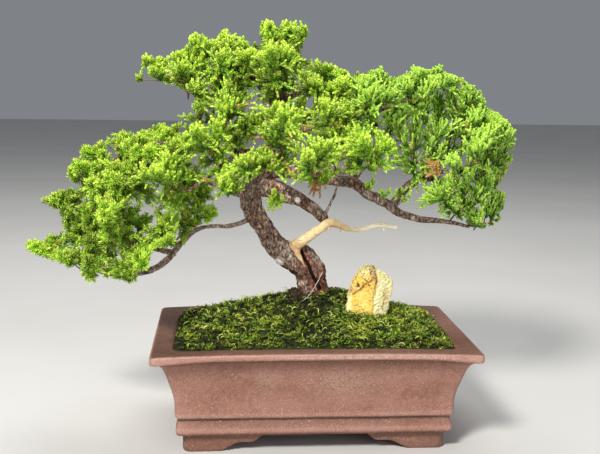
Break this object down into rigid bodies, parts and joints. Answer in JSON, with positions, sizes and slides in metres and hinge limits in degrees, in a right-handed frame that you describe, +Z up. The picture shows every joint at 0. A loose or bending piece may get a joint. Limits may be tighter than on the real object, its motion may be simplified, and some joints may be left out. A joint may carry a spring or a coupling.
{
  "type": "bonsai tree in a pot",
  "caption": "Juniper bonsai with a leaning trunk, a bleached dead branch and a wide needle crown, in a footed rectangular clay pot with moss and an upright stone.",
  "frame": {"origin": "middle of the whole tree's bounding box, on the plane of the pot's feet", "axes": "+X along the pot's long side, to the right in the front view; +Y to the back; +Z up"},
  "size_m": [0.4072, 0.2064, 0.3342],
  "materials": {
    "pot_clay": "unglazed red-brown stoneware, matt with a faint sheen, fine pale grains",
    "screen_plastic": "moulded black plastic mesh",
    "soil": "damp granular bonsai soil, baked clay grains and bark",
    "moss": "living moss, curly tufts of mixed greens",
    "stone": "rough ochre and cream rock with a red-brown vein",
    "bark": "flaking grey-brown juniper bark with reddish furrows",
    "dead_wood": "stripped, bleached wood with long grain lines",
    "needle_foliage": "fresh green juvenile needles, brighter at the tips",
    "scale_foliage": "fresh green scale-leaved whipcord shoots, brighter at the tips"
  },
  "bodies": {
    "root": {"pot": "pot_clay", "drain_screen_left": "screen_plastic", "drain_screen_right": "screen_plastic", "soil": "soil", "moss": "moss", "stone": "stone", "trunk_and_branches": "bark", "dead_branch": "dead_wood", "left_spray_01": "needle_foliage", "left_spray_02": "needle_foliage", "left_spray_03": "needle_foliage", "left_spray_04": "needle_foliage", "left_spray_05": "needle_foliage", "left_spray_06": "needle_foliage", "left_spray_07": "needle_foliage", "left_spray_08": "needle_foliage", "left_spray_09": "needle_foliage", "left_spray_10": "needle_foliage", "left_spray_11": "needle_foliage", "left_spray_12": "needle_foliage", "left_spray_13": "needle_foliage", "left_spray_14": "needle_foliage", "left_spray_15": "needle_foliage", "top_spray_01": "needle_foliage", "top_spray_02": "needle_foliage", "top_spray_03": "needle_foliage", "top_spray_04": "needle_foliage", "top_spray_05": "needle_foliage", "top_spray_06": "needle_foliage", "top_spray_07": "needle_foliage", "top_spray_08": "needle_foliage", "top_spray_09": "needle_foliage", "top_spray_10": "needle_foliage", "top_spray_11": "needle_foliage", "top_spray_12": "needle_foliage", "top_spray_13": "needle_foliage", "top_spray_14": "needle_foliage", "top_spray_15": "needle_foliage", "top_spray_16": "needle_foliage", "top_spray_17": "needle_foliage", "top_spray_18": "needle_foliage", "top_spray_19": "needle_foliage", "top_spray_20": "needle_foliage", "right_spray_01": "scale_foliage", "right_spray_02": "scale_foliage", "right_spray_03": "scale_foliage", "right_spray_04": "scale_foliage", "right_spray_05": "scale_foliage", "right_spray_06": "scale_foliage", "right_spray_07": "scale_foliage", "right_spray_08": "scale_foliage", "right_spray_09": "scale_foliage", "right_spray_10": "scale_foliage", "right_spray_11": "scale_foliage", "right_spray_12": "scale_foliage", "right_spray_13": "scale_foliage", "right_spray_14": "scale_foliage", "right_spray_15": "scale_foliage", "right_spray_16": "scale_foliage", "right_spray_17": "scale_foliage"}
  },
  "joints": []
}
